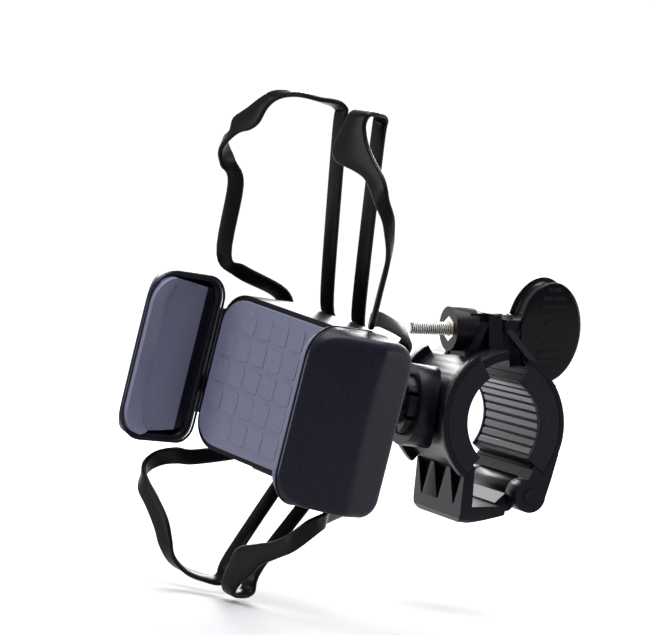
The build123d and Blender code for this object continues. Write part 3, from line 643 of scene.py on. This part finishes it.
def jaw_lining(name, side):
    """Soft lining: facets that lead from the lip to the phone's side, with rounded ends."""
    steps = 44
    height = LINING_TOP - LINING_LOW
    rings = []
    for i in range(steps + 1):
        along = LINING_HALF * math.sin(math.pi * (i / steps - 0.5))
        over = max(0.0, abs(along) - LINING_STRAIGHT)
        fall = LINING_ROUND - math.sqrt(max(0.0, LINING_ROUND ** 2 - over * over))
        ring = []
        for x, z in LINING:
            shorter = 1 - LINING_TAPER * (LINING_TOP - z) / height
            ring.append((side * x, MID_Y + along * shorter, z - fall * (z - LINING_LOW) / height))
        rings.append(ring)
    verts, faces = tube(rings)
    return make(name, verts, faces, CRADLE, "pad_rubber", bevel=0.3, angle=18)


for side, word in ((1, "right"), (-1, "left")):
    body_name = "jaw_" + word
    stand_for(jaw_shell("jaw_cover_" + word, side), body_name, "jaw_shell_" + word)
    stand_for(jaw_bracket("jaw_bracket_" + word, side), body_name, slot="jaw_plastic")
    stand_for(jaw_bead("jaw_bead_" + word, side), body_name, slot="jaw_plastic")
    stand_for(jaw_lining("jaw_lining_" + word, side), body_name, "jaw_pad_" + word)


# ---------------------------------------------------------------- silicone band
# Each loop is a row of stations. A station is a middle point, an outward direction and a width,
# or one edge, the direction and the other edge. RUNS holds the part in front of the housing.
BAND_T = 1.5
HOUSE_HALF_Y = 23.0
RING_HALF, RING_CORNER, RING_HOLE_R, RING_T = (15.0, 13.0), 5.0, 12.95, 1.6
ANCHOR_Z = HOUSE_BACK - 0.3
FRONT, BACK = (0, 0, 1), (0, 0, -1)
RUNS = {
    "upper_right": [
        ((29.9, 15.3, -9.1), (0.7, 0, -0.7), 4.6), ((32.8, 15.3, -6.2), (0.7, 0, -0.7), 6.4),
        ((32.8, 24.0, -6.2), (0.7, 0, -0.7), 4.6), ((33.0, 33.0, -5.9), (0.7, 0, -0.6), 4.8),
        ((33.8, 38.6, -1.9), (1, 0, 0.0), (33.9, 40.6, -4.8)),
        ((33.2, 42.2, -0.4), (0.95, 0, 0.3), (34.2, 44.8, -3.2)),
        ((31.0, 46.0, 0.4), (0.35, 0, 0.95), (34.2, 48.9, -0.7)),
        ((28.0, 49.7, 0.4), FRONT, (33.9, 51.4, 0.4)),
        ((24.7, 52.4, 0.4), FRONT, (32.0, 54.0, 0.4)), ((20.8, 53.5, 0.4), FRONT, (29.5, 56.0, 0.4)),
        ((16.5, 54.1, 0.4), FRONT, (27.0, 57.9, 0.4)), ((12.7, 54.9, 0.4), FRONT, (24.5, 60.1, 0.4)),
        ((10.7, 57.0, 0.4), FRONT, (22.5, 62.4, 0.4)), ((10.6, 60.0, 0.4), FRONT, (21.2, 64.4, 0.4)),
        ((12.2, 65.0, 0.4), FRONT, (20.3, 66.8, 0.4)), ((13.3, 68.5, 0.0), (0, 0.6, 0.8), (20.8, 69.0, 0.0)),
        ((17.0, 69.1, -4.0), (0, 1, 0), 6.4)],
    "upper_left": [
        ((-32.6, 40.0, -7.3), (-0.5, 0, -0.9), 5.0), ((-34.2, 45.5, -4.6), (-1, 0, -0.2), 5.2),
        ((-33.6, 50.5, -1.0), (-1, 0, 0.7), 5.6),
        ((-31.2, 54.9, 0.4), FRONT, (-28.0, 54.4, 0.4)), ((-30.8, 58.8, 0.4), FRONT, (-23.2, 56.6, 0.4)),
        ((-26.7, 62.3, 0.4), FRONT, (-20.3, 59.2, 0.4)), ((-21.6, 66.8, 0.4), FRONT, (-18.4, 63.8, 0.4)),
        ((-18.0, 68.7, -0.3), (0, 0.75, 0.65), (-15.1, 66.7, 0.6)), ((-10.5, 69.1, -2.2), (0, 1, 0.1), 5.0),
        ((-4.0, 69.1, -4.2), (0, 1, -0.1), 5.2)],
    "lower_right": [
        ((31.0, -40.9, -8.8), (0.6, 0, -0.8), 5.0), ((34.2, -41.2, -5.2), (1, 0, -0.25), 5.0),
        ((34.2, -43.4, -1.6), (1, 0, 0.5), 5.2), ((31.2, -48.8, 0.4), (0.15, 0, 1), 5.2),
        ((25.6, -52.8, 0.4), FRONT, 5.2), ((20.2, -55.8, 0.4), FRONT, 6.4), ((15.6, -59.4, 0.4), FRONT, 9.4),
        ((13.4, -63.6, 0.4), FRONT, 7.2), ((12.0, -67.4, 0.2), (0, -0.2, 1), 5.8),
        ((11.2, -69.1, -2.2), (0, -1, 0.2), 5.4)],
    "lower_left": [
        ((-31.0, -41.4, -8.8), (-0.6, 0, -0.8), 5.0), ((-34.2, -43.6, -5.4), (-1, 0, -0.25), 5.0),
        ((-34.0, -46.8, -1.6), (-1, 0, 0.5), 5.2), ((-31.0, -50.6, 0.4), (-0.15, 0, 1), 5.4),
        ((-25.8, -54.4, 0.4), FRONT, 5.6), ((-20.2, -59.0, 0.4), FRONT, 6.0),
        ((-16.3, -63.7, 0.4), (0, -0.1, 1), 5.6), ((-12.6, -67.2, -0.2), (0, -0.7, 0.7), 5.2),
        ((-7.6, -69.0, -2.4), (0, -1, 0.1), 5.2), ((-2.6, -69.1, -4.4), (0, -1, -0.1), 5.2)],
}
# Where each loop turns back behind the phone's end.
TAIL_X = {"upper_right": 16.4, "upper_left": 0.4, "lower_right": 10.6, "lower_left": -0.6}


def stations_of(name):
    """A loop from the ring behind the housing, over the phone's corner and back to the ring."""
    sx = 1 if "right" in name else -1
    sy = 1 if "upper" in name else -1
    start_y = MID_Y + sy * 5.0
    edge = MID_Y + sy * HOUSE_HALF_Y
    ring_end = MID_Y + sy * RING_HALF[1]
    leaving = [
        ((sx * RING_HALF[0], start_y, ANCHOR_Z), BACK, 5.6),
        ((sx * 18.0, start_y, ANCHOR_Z), BACK, 5.6),
        ((sx * 23.2, edge - sy * 5.5, ANCHOR_Z), BACK, 5.6),
        ((sx * 25.8, edge + sy * 0.6, ANCHOR_Z + 2.0), (sx * 0.6, sy * 0.6, -0.6), 5.2),
        ((sx * 28.6, edge + sy * 4.9, -14.5), (sx * 0.75, sy * 0.3, -0.3), 4.6)]
    if name == "upper_left":
        leaving.append(((-31.4, edge + 9.0, -8.2), (-0.4, 0, -1), 4.8))
    tail = TAIL_X[name]
    returning = [
        ((tail, sy * 68.6, -7.6), (0, sy * 0.7, -0.75), 5.4),
        ((tail * 0.95, sy * 62.0, -9.4), (0, sy * 0.3, -1), 5.2),
        ((sx * 6.6, edge + sy * 5.5, ANCHOR_Z + 3.4), (0, sy * 0.4, -0.9), 5.2),
        ((sx * 6.0, edge - sy * 1.5, ANCHOR_Z), BACK, 5.2),
        ((sx * 6.0, ring_end + sy * 2.0, ANCHOR_Z), BACK, 5.2),
        ((sx * 6.0, ring_end, ANCHOR_Z), BACK, 5.2)]
    return leaving + RUNS[name] + returning


def smoothed(points, per_span):
    """Catmull-Rom points through a row of vectors."""
    out = []
    last = len(points) - 1
    for i in range(last):
        a, b, c, d = points[max(i - 1, 0)], points[i], points[i + 1], points[min(i + 2, last)]
        for k in range(per_span):
            t = k / per_span
            out.append(0.5 * ((2 * b) + (c - a) * t + (2 * a - 5 * b + 4 * c - d) * t * t
                              + (3 * b - a - 3 * c + d) * t ** 3))
    out.append(points[last])
    return out


def strap_edges(stations):
    """Both edges and the outward direction at every station."""
    middles, normals = [], []
    for point, normal, width in stations:
        has_edges = isinstance(width, tuple)
        middles.append((Vector(point) + Vector(width)) / 2 if has_edges else Vector(point))
        normals.append(Vector(normal).normalized())
    lefts, rights = [], []
    for i, (point, normal, width) in enumerate(stations):
        ahead = middles[min(i + 1, len(middles) - 1)] - middles[max(i - 1, 0)]
        across = ahead.cross(Vector(normal)).normalized()
        if isinstance(width, tuple):
            left, right = Vector(point), Vector(width)
            if (right - left).dot(across) < 0:
                left, right = right, left
        else:
            left, right = middles[i] - across * width / 2, middles[i] + across * width / 2
        lefts.append(left)
        rights.append(right)
    return lefts, rights, normals


def band_loop(name):
    """A smooth flat strap with round edges along the loop's stations."""
    lefts, rights, normals = [smoothed(row, 6) for row in strap_edges(stations_of(name))]
    rings = []
    r = BAND_T / 2
    for left, right, normal in zip(lefts, rights, normals):
        across = (right - left).normalized()
        out = (normal - across * normal.dot(across)).normalized()
        ring = []
        for corner, start in ((right - across * r, -90), (left + across * r, 90)):
            for k in range(7):
                t = math.radians(start + 30 * k)
                ring.append(corner + across * r * math.cos(t) + out * (r + r * math.sin(t)))
        rings.append(ring)
    verts, faces = tube(rings)
    return make("band_" + name, verts, faces, CRADLE, "band_silicone", angle=50)


def band_ring():
    """The band's ring behind the housing: a rounded rectangle with a round hole for the stem."""
    outer = [(x, MID_Y + y) for x, y in rounded_corners(*RING_HALF, RING_CORNER, 8)]
    inner = []
    for x, y in outer:
        t = math.atan2(y - MID_Y, x)
        inner.append((RING_HOLE_R * math.cos(t), MID_Y + RING_HOLE_R * math.sin(t)))
    rear_z = ANCHOR_Z - RING_T
    verts = []
    for loop, z in ((inner, ANCHOR_Z), (outer, ANCHOR_Z), (outer, rear_z), (inner, rear_z)):
        verts += [(x, y, z) for x, y in loop]
    faces = grid_faces(4, len(outer)) + bridge_ends(4, len(outer))
    return make("band_ring_rubber", verts, faces, CRADLE, "band_silicone", bevel=0.4)


for name in RUNS:
    stand_for(band_loop(name), "cradle", "band_loop_" + name)
stand_for(band_ring(), "cradle", "band_ring")


# ---------------------------------------------------------------- cradle pad and springs
def rest_pad():
    """Soft pad behind the phone, with a grid of low grip pads."""
    shape = Shape()
    pitch_x, pitch_y = 6.6, 7.8

    def slab(half_x, half_y, corner, low, high, x=0.0, y=MID_Y):
        outline = [(x + dx, y + dy) for dx, dy in rounded_corners(half_x, half_y, corner, 6)]
        shape.block(outline, low, high)

    slab(24.5, 21.5, 8.0, -8.7, -7.6)
    for i in range(-3, 4):
        for j in range(-2, 3):
            in_a_corner = abs(i) == 3 and abs(j) == 2
            if not in_a_corner:
                slab(2.6, 3.2, 0.9, -7.8, -7.4, i * pitch_x, MID_Y + j * pitch_y)
    return make("grip_pad", shape.verts, shape.faces, CRADLE, "pad_rubber", bevel=0.25)


def wire(points, radius, steps=8):
    """A round wire through a row of points."""
    rings = []
    for i, point in enumerate(points):
        ahead = (points[min(i + 1, len(points) - 1)] - points[max(i - 1, 0)]).normalized()
        side = ahead.orthogonal().normalized() if i == 0 else (side - ahead * side.dot(ahead)).normalized()
        up = ahead.cross(side)
        rings.append([point + side * radius * math.cos(2 * math.pi * k / steps)
                      + up * radius * math.sin(2 * math.pi * k / steps) for k in range(steps)])
    return tube(rings)


def button_coil():
    """Coil spring that pushes the release button out."""
    radius, turns, length, wire_r, steps = 2.2, 4.5, 3.0, 0.28, 90
    start_y, centre_z = MID_Y - HOUSE_HALF_Y + 6.55, -20.0
    points = []
    for i in range(steps + 1):
        t = 2 * math.pi * turns * i / steps
        points.append(Vector((radius * math.cos(t), start_y + length * i / steps,
                              centre_z + radius * math.sin(t))))
    verts, faces = wire(points, wire_r)
    return make("button_coil", verts, faces, CRADLE, "steel", angle=50)


def pinion_spiral():
    """Flat spiral spring round the pinion's axle."""
    inner_r, growth, turns, half_t, steps = 3.6, 2.6, 4, 0.12, 180
    low, high = -15.95, -13.25
    rings = []
    for i in range(steps + 1):
        t = 2 * math.pi * turns * i / steps
        r = inner_r + growth * i / steps
        ring = []
        for radius, z in ((r - half_t, low), (r + half_t, low), (r + half_t, high), (r - half_t, high)):
            ring.append((radius * math.cos(t), MID_Y + radius * math.sin(t), z))
        rings.append(ring)
    verts, faces = tube(rings)
    return make("pinion_spiral", verts, faces, CRADLE, "steel", angle=40)


stand_for(rest_pad(), "cradle", "cradle_front_pad")
stand_for(button_coil(), "cradle", "button_spring")
stand_for(pinion_spiral(), "cradle", "pinion_spring")


# ---------------------------------------------------------------- stage
# The camera: where it stands and its own three axes.
EYE = Vector((0.70924, -0.34286, 0.03733))
SIDEWAYS = Vector((0.37191, 0.91492, 0.15684))
UPWARDS = Vector((-0.0777, -0.13769, 0.98742))
BACKWARDS = Vector((0.92501, -0.37942, 0.01988))
LENS_MM, SENSOR_MM = 142.68, 36.0

# Greys along the floor: 0 far behind the object, 0.5 below it, 1 towards the camera.
FLOOR_PAINT = [(0.5, 0.44), (0.64, 0.44), (0.72, 0.3)]
FLOOR_GLOW = [(0.0, 1.0), (0.3, 0.75), (0.44, 0.3), (0.5, 0.05), (0.56, 0.08), (0.63, 0.18), (0.68, 0.0)]
FLOOR_SIZE, FLOOR_GAP = 8, 0.001

# Greys of the surroundings: upwards in front of the object, and a backdrop behind it.
WORLD_FRONT = [(0.0, 0.24), (0.08, 0.25), (0.3, 0.3), (0.6, 0.42), (1.0, 0.75)]
WORLD_BEHIND = [(0.0, 0.0), (0.45, 1.0)]
BACKDROP = 1.05
BLUE_SHARE = 1.03


def ramp_of(tree, value, stops):
    """A faintly blue grey ramp through (position, grey) stops."""
    ramp = tree.nodes.new("ShaderNodeValToRGB")
    elements = ramp.color_ramp.elements
    while len(elements) < len(stops):
        elements.new(0.5)
    for element, (position, grey) in zip(elements, stops):
        element.position = position
        element.color = (grey, grey, grey * BLUE_SHARE, 1)
    tree.links.new(value, ramp.inputs["Fac"])
    return ramp.outputs["Color"]


def floor_paint():
    """Light floor that glows ever more with the distance behind the object, darker near the camera."""
    mat = bpy.data.materials.new("floor_paint")
    mat.use_nodes = True
    tree = mat.node_tree
    shader = tree.nodes["Principled BSDF"]
    shader.inputs["Roughness"].default_value = 0.6
    coords = tree.nodes.new("ShaderNodeTexCoord")
    dot = tree.nodes.new("ShaderNodeVectorMath")
    dot.operation = "DOT_PRODUCT"
    dot.inputs[1].default_value = BACKWARDS
    tree.links.new(coords.outputs["Object"], dot.inputs[0])
    share = tree.nodes.new("ShaderNodeMath")
    share.operation = "MULTIPLY_ADD"
    share.inputs[1].default_value = 0.5
    share.inputs[2].default_value = 0.5
    tree.links.new(dot.outputs["Value"], share.inputs[0])
    paint = ramp_of(tree, share.outputs["Value"], FLOOR_PAINT)
    glow = ramp_of(tree, share.outputs["Value"], FLOOR_GLOW)
    tree.links.new(paint, shader.inputs["Base Color"])
    tree.links.new(glow, shader.inputs["Emission Color"])
    shader.inputs["Emission Strength"].default_value = 1.0
    return mat


camera_data = bpy.data.cameras.new("camera")
camera = bpy.data.objects.new("camera", camera_data)
bpy.context.collection.objects.link(camera)
turn = Matrix((SIDEWAYS, UPWARDS, BACKWARDS)).transposed()
camera.matrix_world = Matrix.Translation(EYE) @ turn.to_4x4()
camera_data.sensor_width = SENSOR_MM
camera_data.lens = LENS_MM
camera_data.clip_start = 0.01
bpy.context.scene.camera = camera

bpy.ops.mesh.primitive_plane_add(size=FLOOR_SIZE, location=(0, 0, cad_box[0][2] - FLOOR_GAP))
floor = bpy.context.object
floor.name = "floor"
floor.data.materials.append(floor_paint())


def studio_world():
    """White behind the object as the camera sees it, grey and brighter upwards everywhere else."""
    world = bpy.data.worlds.new("studio")
    bpy.context.scene.world = world
    world.use_nodes = True
    tree = world.node_tree
    coords = tree.nodes.new("ShaderNodeTexCoord")
    split = tree.nodes.new("ShaderNodeSeparateXYZ")
    tree.links.new(coords.outputs["Generated"], split.inputs["Vector"])
    front = ramp_of(tree, split.outputs["Z"], WORLD_FRONT)
    dot = tree.nodes.new("ShaderNodeVectorMath")
    dot.operation = "DOT_PRODUCT"
    dot.inputs[1].default_value = -BACKWARDS
    tree.links.new(coords.outputs["Generated"], dot.inputs[0])
    behind = ramp_of(tree, dot.outputs["Value"], WORLD_BEHIND)
    mix = tree.nodes.new("ShaderNodeMix")
    mix.data_type = "RGBA"
    tree.links.new(behind, mix.inputs["Factor"])
    tree.links.new(front, mix.inputs["A"])
    mix.inputs["B"].default_value = (BACKDROP, BACKDROP, BACKDROP, 1)
    tree.links.new(mix.outputs["Result"], tree.nodes["Background"].inputs["Color"])


studio_world()
bpy.context.scene.view_settings.view_transform = "Standard"


def softbox(name, place, target, size, watts):
    """A rectangular light of that size in metres, turned to its target."""
    light_data = bpy.data.lights.new(name, "AREA")
    light_data.shape = "RECTANGLE"
    light_data.size, light_data.size_y = size
    light_data.energy = watts
    light = bpy.data.objects.new(name, light_data)
    light.location = place
    light.rotation_euler = (Vector(target) - Vector(place)).to_track_quat("-Z", "Y").to_euler()
    bpy.context.collection.objects.link(light)


MIDDLE = (0, 0, 0)
RIGHT_BEHIND_PHONE = 0.8 * (0.84 * cradle_x - 0.54 * cradle_z)
softbox("overhead", (0.05, -0.05, 0.75), MIDDLE, (0.6, 0.6), 9)
softbox("left", (-0.05, -0.95, 0.05), MIDDLE, (0.2, 0.6), 2.5)
softbox("back", (-0.85, 0.35, 0.42), (0, 0, 0.02), (1.1, 0.3), 10)
softbox("side", RIGHT_BEHIND_PHONE, MIDDLE, (0.3, 0.5), 2.2)
